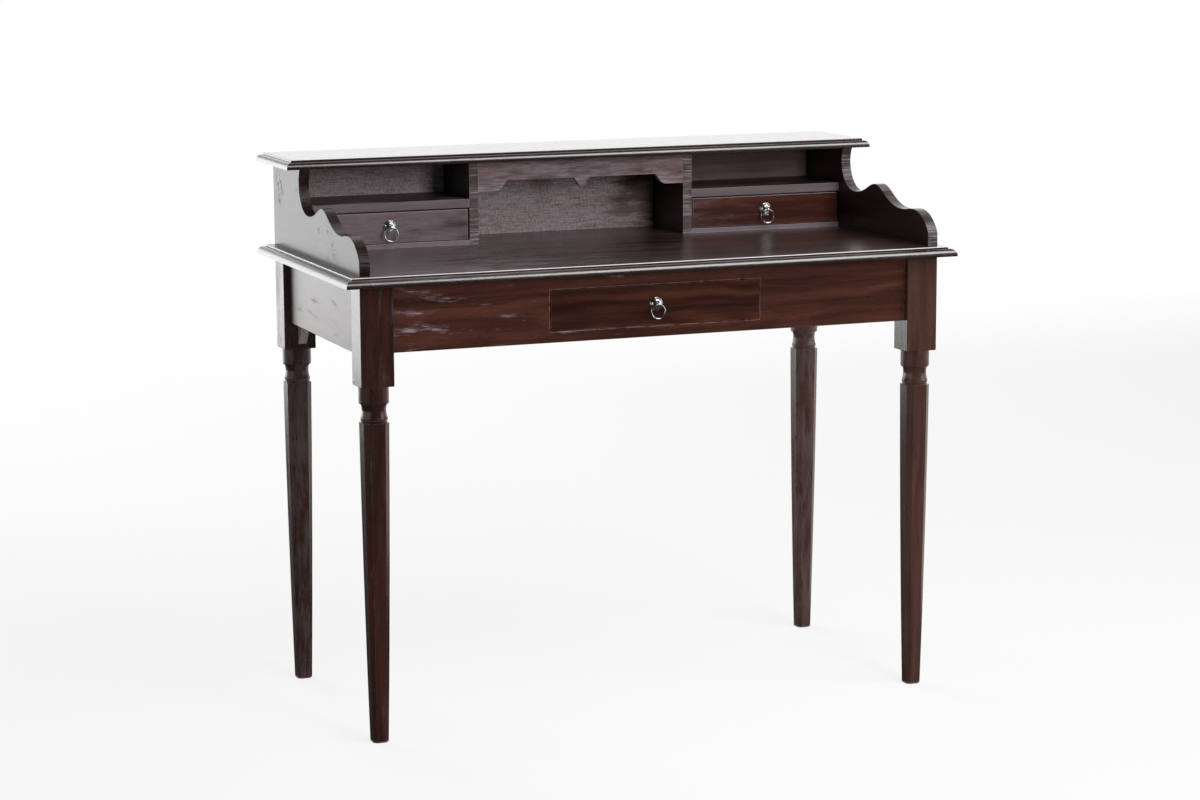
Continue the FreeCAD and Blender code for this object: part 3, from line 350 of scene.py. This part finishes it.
def stained_wood(name, grain, board, pith, finish):
    """Stained and rubbed hardwood: streaky colour, rings, pores, pale haze that is partly painted sheen,
    edge wear, a painted highlight along a rounded arris and fine relief.
    """
    material, recipe, shader = new_material(name)
    entry, axes, along = grain_axes(recipe, grain)
    wood = place_group(recipe, GRAIN, {"Along": along, "Board": board, "Pith": pith})
    cover = recipe.plus(recipe.times(axes[0], finish.lean), finish.haze)
    film = {"Along": along, "Board": board, "Cover": cover, "Across": finish.across, "Even": finish.even}
    haze = place_group(recipe, HAZE_AND_SHEEN, film)["Haze"]
    if finish.flat:
        side = recipe.split(entry["Normal"])["XYZ".index(finish.flat)]
        cut = place_group(recipe, RIPPLE, {"Place": entry["Object"], "Flat": side})
        trimmed = recipe.times(cut["Edge"], finish.edge)
        ripple_and_highlight = recipe.times(cut["Ripple"], finish.ripple)
        haze = recipe.times(haze, recipe.minus(1.0, trimmed))
    colour = recipe.blend(wood["Streak"], finish.dark, finish.warm)
    glow = recipe.times(wood["Figure"], recipe.times(wood["Streak"], finish.figure))
    colour = recipe.blend(glow, colour, finish.light)
    colour = recipe.blend(recipe.times(wood["Pore"], PORE_SHADE), colour, SOOT)
    # Pale haze laid over the wood: partly rubbed film and partly painted sheen.
    colour = recipe.blend(recipe.times(haze, HAZE_SHADE), colour, finish.tint)
    height = recipe.minus(wood["Fibre"], recipe.times(wood["Pore"], PORE_DEPTH))
    rough = recipe.plus(finish.rough, recipe.times(haze, HAZE_ROUGH))
    rough = recipe.plus(rough, recipe.times(wood["Fibre"], FIBRE_ROUGH))
    if finish.flat:
        colour = recipe.blend(trimmed, colour, finish.trim)
        # The ripple lines are painted pale: sawn relief with a painted highlight on its ridges.
        colour = recipe.blend(ripple_and_highlight, colour, DUST)
        height = recipe.plus(height, ripple_and_highlight)
        rough = recipe.plus(rough, recipe.times(ripple_and_highlight, RIPPLE_ROUGH))
    if finish.spots:
        spot = place_group(recipe, SPOT, {"Place": entry["Object"], "Cover": finish.spots})["Spot"]
        colour = recipe.blend(recipe.times(spot, SPOT_SHADE), colour, SOOT)
        rough = recipe.plus(rough, recipe.times(spot, SPOT_ROUGH))
    wear = place_group(recipe, WEAR, {"Place": entry["Object"], "Reach": finish.reach})["Wear"]
    colour = recipe.blend(recipe.times(wear, finish.wear), colour, finish.worn)
    # A painted highlight: a thin pale line along the rounded top arris, just under the given height, on
    # faces that begin to turn from level.
    if finish.crest:
        near = recipe.step(axes[2], low=finish.crest - HIGHLIGHT_CREST_NONE, high=finish.crest - HIGHLIGHT_CREST_FULL)
        level = recipe.split(entry["Normal"])[2]
        arris = recipe.times(near, recipe.step(level, low=0.98, high=0.90))
        colour = recipe.blend(arris, colour, finish.worn)
    join_shader(recipe, shader, colour, rough,
                {"Strength": WOOD_RELIEF, "Distance": RELIEF_DEPTH, "Height": height})
    shader.inputs["IOR"].default_value = finish.index
    return material


FACED = Finish(dark=(0.028, 0.0098, 0.0072), warm=(0.060, 0.0200, 0.0140), light=EMBER, figure=0.50,
               haze=0.36, lean=-0.4, across=0.0, even=0.0, tint=LILAC, rough=0.16, index=1.40,
               wear=0.9, worn=TAN, reach=0.0020, spots=0.0, crest=None,
               flat=None, edge=0.0, trim=TAUPE, ripple=0.0)
DRAWN = FACED._replace(dark=(0.015, 0.0050, 0.0036), warm=(0.033, 0.0100, 0.0063), haze=0.12, lean=0.0,
                       rough=0.14, spots=0.35)
SMALL_LEFT = FACED._replace(haze=0.75, lean=-1.6, across=0.3, even=0.7, tint=ASH, rough=0.22, worn=DUST,
                            flat="Y", edge=0.9, trim=DUST)
# The right small drawer: its haze falls off steeply to the right, painted sheen on its left part and painted
# shade on its right part beside the gallery side.
SMALL_RIGHT = SMALL_LEFT._replace(warm=CHESTNUT, haze=1.5, lean=-2.8, across=0.0, even=0.75,
                                  tint=(0.130, 0.078, 0.074), rough=0.18)
# Polished boards: the faces of the moulding that turn away from the top are trimmed to dark umber, painted
# shade between the moulding's highlights, and the haze is partly painted sheen.
POLISHED = FACED._replace(warm=WALNUT, light=CHESTNUT, haze=0.25, lean=0.0, even=0.4, tint=ASH, rough=0.20,
                          index=2.05, wear=0.0, flat="Z", edge=0.9, trim=UMBER)
# The desk top: its haze leans strongly to the left, a painted sheen, and its rounded top arris gets a
# painted chalk-white highlight.
WRITING = POLISHED._replace(dark=(0.006, 0.0030, 0.0025), warm=(0.058, 0.0310, 0.0250),
                            light=(0.090, 0.0440, 0.0340), haze=0.44, lean=-1.7, even=0.2, worn=HIGHLIGHT_CHALK,
                            crest=TOP_HEIGHT)
SIDED = FACED._replace(haze=0.50, lean=0.0, tint=TAUPE, rough=0.32, index=1.8, wear=0.3, spots=0.3)
TURNED = FACED._replace(dark=(0.020, 0.0075, 0.0056), warm=(0.038, 0.0120, 0.0085), light=CHESTNUT,
                        haze=0.55, lean=0.0, even=0.4, tint=TAUPE, rough=0.18, index=1.5, wear=0.25)
# The rear left leg: more pale haze than the front, painted light that lifts it out of the shade at the back
# of the desk.
TURNED_REAR_PAINTED_FILL = TURNED._replace(haze=0.90)
# The right legs: lighter, redder stain, partly their own tone and partly painted light from the right.
TURNED_RIGHT_TONE_AND_LIGHT = TURNED._replace(dark=(0.038, 0.0160, 0.0120), warm=(0.069, 0.0310, 0.0245), light=RUSSET,
                               haze=0.20)
# The rear right leg: as the right legs, with more mauve haze, painted light that lifts it out of the shade
# at the back.
TURNED_FAR_PAINTED_FILL = TURNED_RIGHT_TONE_AND_LIGHT._replace(haze=0.95, tint=MAUVE)
SCROLLED = FACED._replace(dark=SOOT, warm=(0.024, 0.0110, 0.0085), light=MAROON, haze=0.25, lean=0.0,
                          tint=TAUPE, rough=0.26, index=1.32, wear=0.25, worn=DUST, spots=0.5,
                          flat="X", ripple=0.12)
SCROLLED_RIGHT = SCROLLED._replace(dark=(0.011, 0.0072, 0.0066), warm=(0.036, 0.0220, 0.0190), haze=0.4,
                                   even=0.5, edge=0.3, ripple=0.50)
DIVIDED = SCROLLED._replace(warm=UMBER, tint=LILAC, rough=0.30, index=1.35, wear=0.4, spots=0.0, edge=0.75,
                            ripple=0.55)
SHELVED = DIVIDED._replace(warm=WALNUT, light=ROSE, haze=0.60, lean=-0.4, across=0.2, even=0.4, rough=0.34,
                           wear=0.6, flat="Z", edge=0.62, trim=ASH, ripple=0.0)
SILLED = SHELVED._replace(haze=0.9, tint=DUST, edge=0.9)
VALANCED = FACED._replace(dark=(0.020, 0.0090, 0.0070), warm=(0.120, 0.0620, 0.0540), light=ROSE, haze=0.95,
                          lean=-0.3, even=0.30, rough=0.38, wear=0.4, worn=DUST)
# The gallery back: its haze leans very steeply to the left and its tint is pale, painted light and sheen
# that brighten the back of the left pigeonhole.
BACKED = VALANCED._replace(dark=(0.085, 0.056, 0.050), warm=(0.14, 0.094, 0.085), light=MAUVE, haze=1.38,
                           lean=-4.2, across=0.5, even=0.12, tint=(0.43, 0.370, 0.400), rough=0.44, wear=0.2)

NO_PITH = (0.0, 0.0, 0.0)
KNEES = ("knee_front_left", "knee_front_right", "knee_rear_left", "knee_rear_right")
RUNNERS = ("left_runner", "right_runner", "left_kicker", "right_kicker")

# Each wood's name, grain axis, board number, middle of its rings, finish and pieces.
BOARDS = (
    ("desk_top_wood", "X", 1.0, (0.0, -0.12, 0.70), WRITING, ("desk_top",)),
    ("gallery_top_wood", "X", 2.0, (0.0, 0.20, 0.84), POLISHED, ("gallery_top",)),
    ("front_apron_wood", "X", 3.0, (0.0, -0.14, 0.66), FACED, ("front_apron",)),
    ("rear_apron_wood", "X", 4.0, (0.0, 0.15, 0.70), SIDED, ("rear_apron",)),
    ("side_apron_wood", "Y", 5.0, (0.0, 0.0, 0.72), SIDED, ("left_apron", "right_apron")),
    ("front_left_leg_wood", "Z", 6.0, NO_PITH, TURNED, ("leg_front_left",)),
    ("rear_left_leg_wood", "Z", 6.2, NO_PITH, TURNED_REAR_PAINTED_FILL, ("leg_rear_left",)),
    ("front_right_leg_wood", "Z", 6.5, NO_PITH, TURNED_RIGHT_TONE_AND_LIGHT, ("leg_front_right",)),
    ("rear_right_leg_wood", "Z", 6.7, NO_PITH, TURNED_FAR_PAINTED_FILL, ("leg_rear_right",)),
    ("left_scroll_wood", "Y", 7.0, NO_PITH, SCROLLED, ("gallery_left_side",)),
    ("right_scroll_wood", "Y", 7.5, NO_PITH, SCROLLED_RIGHT, ("gallery_right_side",)),
    ("divider_wood", "Z", 8.0, NO_PITH, DIVIDED, ("left_divider", "right_divider")),
    ("shelf_wood", "X", 9.0, NO_PITH, SHELVED, ("left_shelf", "right_shelf")),
    ("sill_wood", "X", 9.5, NO_PITH, SILLED, ("left_drawer_floor", "right_drawer_floor")),
    ("valance_wood", "X", 10.0, (0.0, 0.20, 0.85), VALANCED, ("valance",)),
    ("gallery_back_wood", "X", 11.0, (0.0, 0.40, 0.80), BACKED, ("gallery_back",)),
    ("main_front_wood", "X", 12.0, (0.0, -0.17, 0.672), DRAWN, ("main_drawer_front",)),
    ("left_front_wood", "X", 13.0, (0.0, 0.16, 0.780), SMALL_LEFT, ("left_drawer_front",)),
    ("right_front_wood", "X", 13.5, (0.0, 0.16, 0.780), SMALL_RIGHT, ("right_drawer_front",)),
    ("runner_wood", "Y", 14.0, NO_PITH, TURNED, RUNNERS),
    ("cleat_wood", "Y", 15.0, NO_PITH, TURNED, ("left_cleat", "right_cleat", "drawer_stops")),
    ("knee_wood", "Z", 16.0, NO_PITH, BACKED, KNEES),
)

# The same for the unstained wood, whose pieces are parts of all three drawers.
DRAWERS = ("main", "left", "right")
BARE_BOARDS = (
    ("bare_side_wood", "Y", 21.0, ("left_side", "right_side")),
    ("bare_back_wood", "X", 22.0, ("back", "bottom")),
)
BARE_RELIEF = 0.3
BARE_FIGURE = 0.35
BARE_PORE = 0.5


def bare_wood(name, grain, board):
    """Planed unstained wood of the drawer boxes and the dowels."""
    material, recipe, shader = new_material(name)
    _, _, along = grain_axes(recipe, grain)
    wood = place_group(recipe, GRAIN, {"Along": along, "Board": board, "Pith": NO_PITH})
    colour = recipe.blend(wood["Streak"], PALE_DARK, PALE_WARM)
    colour = recipe.blend(recipe.times(wood["Figure"], BARE_FIGURE), colour, PALE_DARK)
    colour = recipe.blend(recipe.times(wood["Pore"], BARE_PORE), colour, CHESTNUT)
    height = recipe.minus(wood["Fibre"], recipe.times(wood["Pore"], BARE_PORE))
    join_shader(recipe, shader, colour, recipe.range(wood["Fibre"], low=0.50, high=0.72),
                {"Strength": BARE_RELIEF, "Distance": RELIEF_DEPTH, "Height": height})
    return material


METAL_RELIEF = 0.15
HAIR_DEPTH = 0.3


def metal(name, bright, dull, low, high, depth):
    """Plated metal: dull clouds, of roughness low to high, hair lines and relief of the given depth."""
    material, recipe, shader = new_material(name)
    place = recipe.add("ShaderNodeTexCoord").outputs["Object"]
    clouds = recipe.step(recipe.noise(place, CLOUD_PITCH, detail=4.0, roughness=0.6), low=0.35, high=0.75)
    hair = recipe.noise(place, HAIR_PITCH, detail=2.0, roughness=0.6)
    height = recipe.plus(recipe.times(hair, HAIR_DEPTH), clouds)
    join_shader(recipe, shader, recipe.blend(clouds, bright, dull), recipe.range(clouds, low, high),
                {"Strength": METAL_RELIEF, "Distance": depth, "Height": height})
    shader.inputs["Metallic"].default_value = 1.0
    return material


def dress(material, nodes):
    for name in nodes:
        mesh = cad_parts[name].data
        mesh.materials.clear()
        mesh.materials.append(material)


def drawer_pieces(parts):
    return [f"{drawer}_drawer_{part}" for drawer in DRAWERS for part in parts]


for label, grain, board, pith, finish, nodes in BOARDS:
    dress(stained_wood(label, grain, board, pith, finish), nodes)
for label, grain, board, parts in BARE_BOARDS:
    dress(bare_wood(label, grain, board), drawer_pieces(parts))
dress(bare_wood("dowel_wood", "Z", 23.0), ("gallery_dowels",))
NICKEL = metal("nickel_plate", NICKEL_BRIGHT, NICKEL_DULL, low=0.06, high=0.16, depth=0.0001)
dress(NICKEL, drawer_pieces(("rosette", "eye", "nut", "ring")))
STEEL = metal("screw_steel", STEEL_BRIGHT, STEEL_DULL, low=0.28, high=0.45, depth=0.0002)
dress(STEEL, ("top_screws",))


PIN_RADIUS = 0.0022
PIN_RISE = 0.0007
PIN_SINK = 0.0005
PIN_HEIGHT = 0.5891
PIN_INSET = 0.0406
PIN_RINGS = 6
PIN_SIDES = 24


def pin_head(name, side, y, face_x):
    """A shallow round pin head in the outer face of a leg block. A ring at the share r of the radius stands
    out by the rise times 1 - r squared. A last ring of the full radius lies sunk in the wood, and a point
    closes each end."""
    share = np.append(np.arange(1, PIN_RINGS + 1) / PIN_RINGS, 1.0)
    rise = np.append(PIN_RISE * (1.0 - share[:-1] ** 2), -PIN_SINK)
    angle = np.arange(PIN_SIDES) * 2 * np.pi / PIN_SIDES
    out = face_x + side * np.repeat(rise, PIN_SIDES)
    across = y + PIN_RADIUS * np.outer(share, np.cos(angle)).ravel()
    up = PIN_HEIGHT + side * PIN_RADIUS * np.outer(share, np.sin(angle)).ravel()
    poles = [[face_x + side * PIN_RISE, y, PIN_HEIGHT], [face_x - side * PIN_SINK, y, PIN_HEIGHT]]
    points = np.vstack([poles, np.column_stack([out, across, up])])
    number = len(poles) + np.arange(out.size).reshape(len(share), PIN_SIDES)
    after = np.roll(number, -1, axis=1)
    front = np.column_stack([np.zeros(PIN_SIDES, int), number[0], after[0]])
    rear = np.column_stack([np.ones(PIN_SIDES, int), after[-1], number[-1]])
    bands = np.stack([number[:-1], number[1:], after[1:], after[:-1]], axis=-1).reshape(-1, 4)
    mesh = bpy.data.meshes.new(name)
    mesh.from_pydata(points.tolist(), [], front.tolist() + rear.tolist() + bands.tolist())
    mesh.materials.append(STEEL)
    pin = bpy.data.objects.new(name, mesh)
    bpy.context.scene.collection.objects.link(pin)
    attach(pin, "desk")


for end, inward in (("front", 1), ("rear", -1)):
    for word, side in (("left", -1), ("right", 1)):
        low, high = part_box(f"leg_{end}_{word}")
        face_x = low[0] if side < 0 else high[0]
        outer_y = low[1] if inward > 0 else high[1]
        pin_head(f"pin_{end}_{word}", side, outer_y + inward * PIN_INSET, face_x)

WHITE = (1.0, 1.0, 1.0, 1.0)
FLOOR_COLOUR = (0.78, 0.78, 0.78, 1.0)
FLOOR_GLOW = 0.80
FLOOR_SIDE = 5.0
FLOOR_FRONT = 9.0
FLOOR_BACK = 4.2
FLOOR_FADE = 1.6
FLOOR_COLUMNS = 21
FLOOR_ROWS = 27
AMBIENT = 0.22


def make_floor():
    """A flat sheet under the desk: a grid of points over its width and length."""
    columns = np.linspace(-FLOOR_SIDE, FLOOR_SIDE, FLOOR_COLUMNS)
    rows = np.linspace(-FLOOR_FRONT, FLOOR_BACK, FLOOR_ROWS)
    x, y = np.meshgrid(columns, rows)
    points = np.column_stack([x.ravel(), y.ravel(), np.zeros(x.size)])
    number = np.arange(x.size).reshape(x.shape)
    corners = [number[:-1, :-1], number[:-1, 1:], number[1:, 1:], number[1:, :-1]]
    quads = np.stack(corners, axis=-1).reshape(-1, 4)
    mesh = bpy.data.meshes.new("floor")
    mesh.from_pydata(points.tolist(), [], quads.tolist())
    floor = bpy.data.objects.new("floor", mesh)
    bpy.context.scene.collection.objects.link(floor)
    return floor


def seen_directly(recipe):
    """1 for camera, mirror and glass rays, and 0 for the rays that carry the room's light."""
    path = recipe.add("ShaderNodeLightPath").outputs
    direct = recipe.math("MAXIMUM", path["Is Camera Ray"], path["Is Glossy Ray"])
    return recipe.math("MAXIMUM", direct, path["Is Transmission Ray"])


def paper_floor():
    """Pale matt paper. Part of its white doesn't hang on the lamps, and at its edges it fades into the white
    room."""
    material = bpy.data.materials.new("pale_floor")
    material.use_nodes = True
    material.node_tree.nodes.clear()
    recipe = Recipe(material.node_tree)
    x, y, _ = recipe.split(recipe.add("ShaderNodeTexCoord").outputs["Object"])
    side = recipe.step(recipe.math("ABSOLUTE", x), low=FLOOR_SIDE, high=FLOOR_SIDE - FLOOR_FADE)
    back = recipe.step(y, low=FLOOR_BACK, high=FLOOR_BACK - FLOOR_FADE)
    front = recipe.step(y, low=-FLOOR_FRONT, high=FLOOR_FADE - FLOOR_FRONT)
    shown = recipe.times(side, recipe.times(back, front))
    matt = recipe.add("ShaderNodeBsdfDiffuse", {"Color": FLOOR_COLOUR}).outputs[0]
    glow = recipe.add("ShaderNodeEmission", {"Color": WHITE, "Strength": 1.0}).outputs[0]
    share = recipe.times(seen_directly(recipe), FLOOR_GLOW)
    paper = recipe.add("ShaderNodeMixShader", {0: share, 1: matt, 2: glow}).outputs[0]
    clear = recipe.add("ShaderNodeBsdfTransparent").outputs[0]
    both = recipe.add("ShaderNodeMixShader", {0: shown, 1: clear, 2: paper}).outputs[0]
    recipe.add("ShaderNodeOutputMaterial", {"Surface": both})
    return material


def white_room():
    """White to the camera and to mirrors, and a low even light for the rest."""
    world = bpy.data.worlds.new("white_room")
    world.use_nodes = True
    world.node_tree.nodes.clear()
    recipe = Recipe(world.node_tree)
    strength = recipe.range(seen_directly(recipe), low=AMBIENT, high=1.0)
    sky = recipe.add("ShaderNodeBackground", {"Color": WHITE, "Strength": strength}).outputs[0]
    recipe.add("ShaderNodeOutputWorld", {"Surface": sky})
    bpy.context.scene.world = world


def softbox(name, place, aim, size, radiance, glare=True, fill=True):
    """A flat lamp of the given radiance, turned to its aim. The camera doesn't see it. Without glare, as
    through a polarising sheet, gloss doesn't either, and without fill only gloss does, so that the floor by
    it stays plain."""
    lamp = bpy.data.lights.new(name, "AREA")
    lamp.shape = "RECTANGLE"
    lamp.size, lamp.size_y = size
    lamp.energy = radiance * math.pi * size[0] * size[1]
    box = bpy.data.objects.new(name, lamp)
    box.location = place
    box.rotation_euler = (Vector(aim) - Vector(place)).to_track_quat("-Z", "Y").to_euler()
    box.visible_camera = False
    box.visible_glossy = glare
    box.visible_diffuse = fill
    bpy.context.scene.collection.objects.link(box)


make_floor().data.materials.append(paper_floor())
white_room()
softbox("key_box", place=(1.25, -1.7, 2.7), aim=(0.1, -0.1, 0.8), size=(2.2, 1.4), radiance=5.4)
softbox("front_box", place=(0.70, -3.7, 1.62), aim=(0.0, 0.2, 0.85), size=(0.9, 1.2), radiance=22.0,
        glare=False)
softbox("right_box", place=(3.0, -2.2, 1.30), aim=(0.0, 0.0, 0.75), size=(1.6, 1.4), radiance=2.0)
softbox("back_left_box", place=(-1.9, 2.9, 0.76), aim=(-0.5, 0.0, 0.76), size=(2.4, 1.5), radiance=2.4,
        fill=False)
softbox("rear_fill", place=(-1.0, 3.6, 2.4), aim=(0.0, 0.0, 0.7), size=(2.0, 1.4), radiance=9.0,
        glare=False)
softbox("back_box", place=(1.6, 4.3, 1.5), aim=(0.0, 0.2, 0.9), size=(4.2, 2.6), radiance=1.0)

# The cloths' colour and roughness, and the lines of (y, z) that they are drawn over.
CLOTH_COLOUR = (0.02, 0.02, 0.02, 1.0)
CLOTH_ROUGH = 0.9
CANOPY_LINE = ((0.05, 0.003), (-4.0, 0.003), (-4.0, 1.9), (-2.9, 3.1), (-0.5, 3.6), (1.4, 3.3))
SIDE_LINE = ((0.05, 0.003), (3.0, 0.003))


def dark_cloth(name, left, right, line):
    """A dark cloth of the studio, drawn from left to right over a line of (y, z). Only mirrors see it, so
    that the varnish keeps its deep colour, and it takes no light away."""
    points = [(x, y, z) for y, z in line for x in (left, right)]
    faces = [(2 * row, 2 * row + 1, 2 * row + 3, 2 * row + 2) for row in range(len(line) - 1)]
    mesh = bpy.data.meshes.new(name)
    mesh.from_pydata(points, [], faces)
    material, _, shader = new_material(name)
    shader.inputs["Base Color"].default_value = CLOTH_COLOUR
    shader.inputs["Roughness"].default_value = CLOTH_ROUGH
    mesh.materials.append(material)
    cloth = bpy.data.objects.new(name, mesh)
    cloth.visible_camera = False
    cloth.visible_diffuse = False
    cloth.visible_shadow = False
    cloth.visible_transmission = False
    bpy.context.scene.collection.objects.link(cloth)


dark_cloth("dark_canopy", left=-4.6, right=4.2, line=CANOPY_LINE)
dark_cloth("dark_side", left=-4.6, right=0.7, line=SIDE_LINE)

CAMERA_PLACE = (-1.91395, -4.81772, 1.37759)
CAMERA_TURN = (80.32168, 0.26446, -21.61657)
CAMERA_LENS = 92.1447
CAMERA_WIDTH = 36.0

camera = bpy.data.cameras.new("camera")
camera.sensor_fit = "HORIZONTAL"
camera.sensor_width = CAMERA_WIDTH
camera.lens = CAMERA_LENS
viewer = bpy.data.objects.new("camera", camera)
viewer.location = CAMERA_PLACE
viewer.rotation_euler = [math.radians(angle) for angle in CAMERA_TURN]
bpy.context.scene.collection.objects.link(viewer)
bpy.context.scene.camera = viewer
bpy.context.scene.view_settings.view_transform = "Standard"
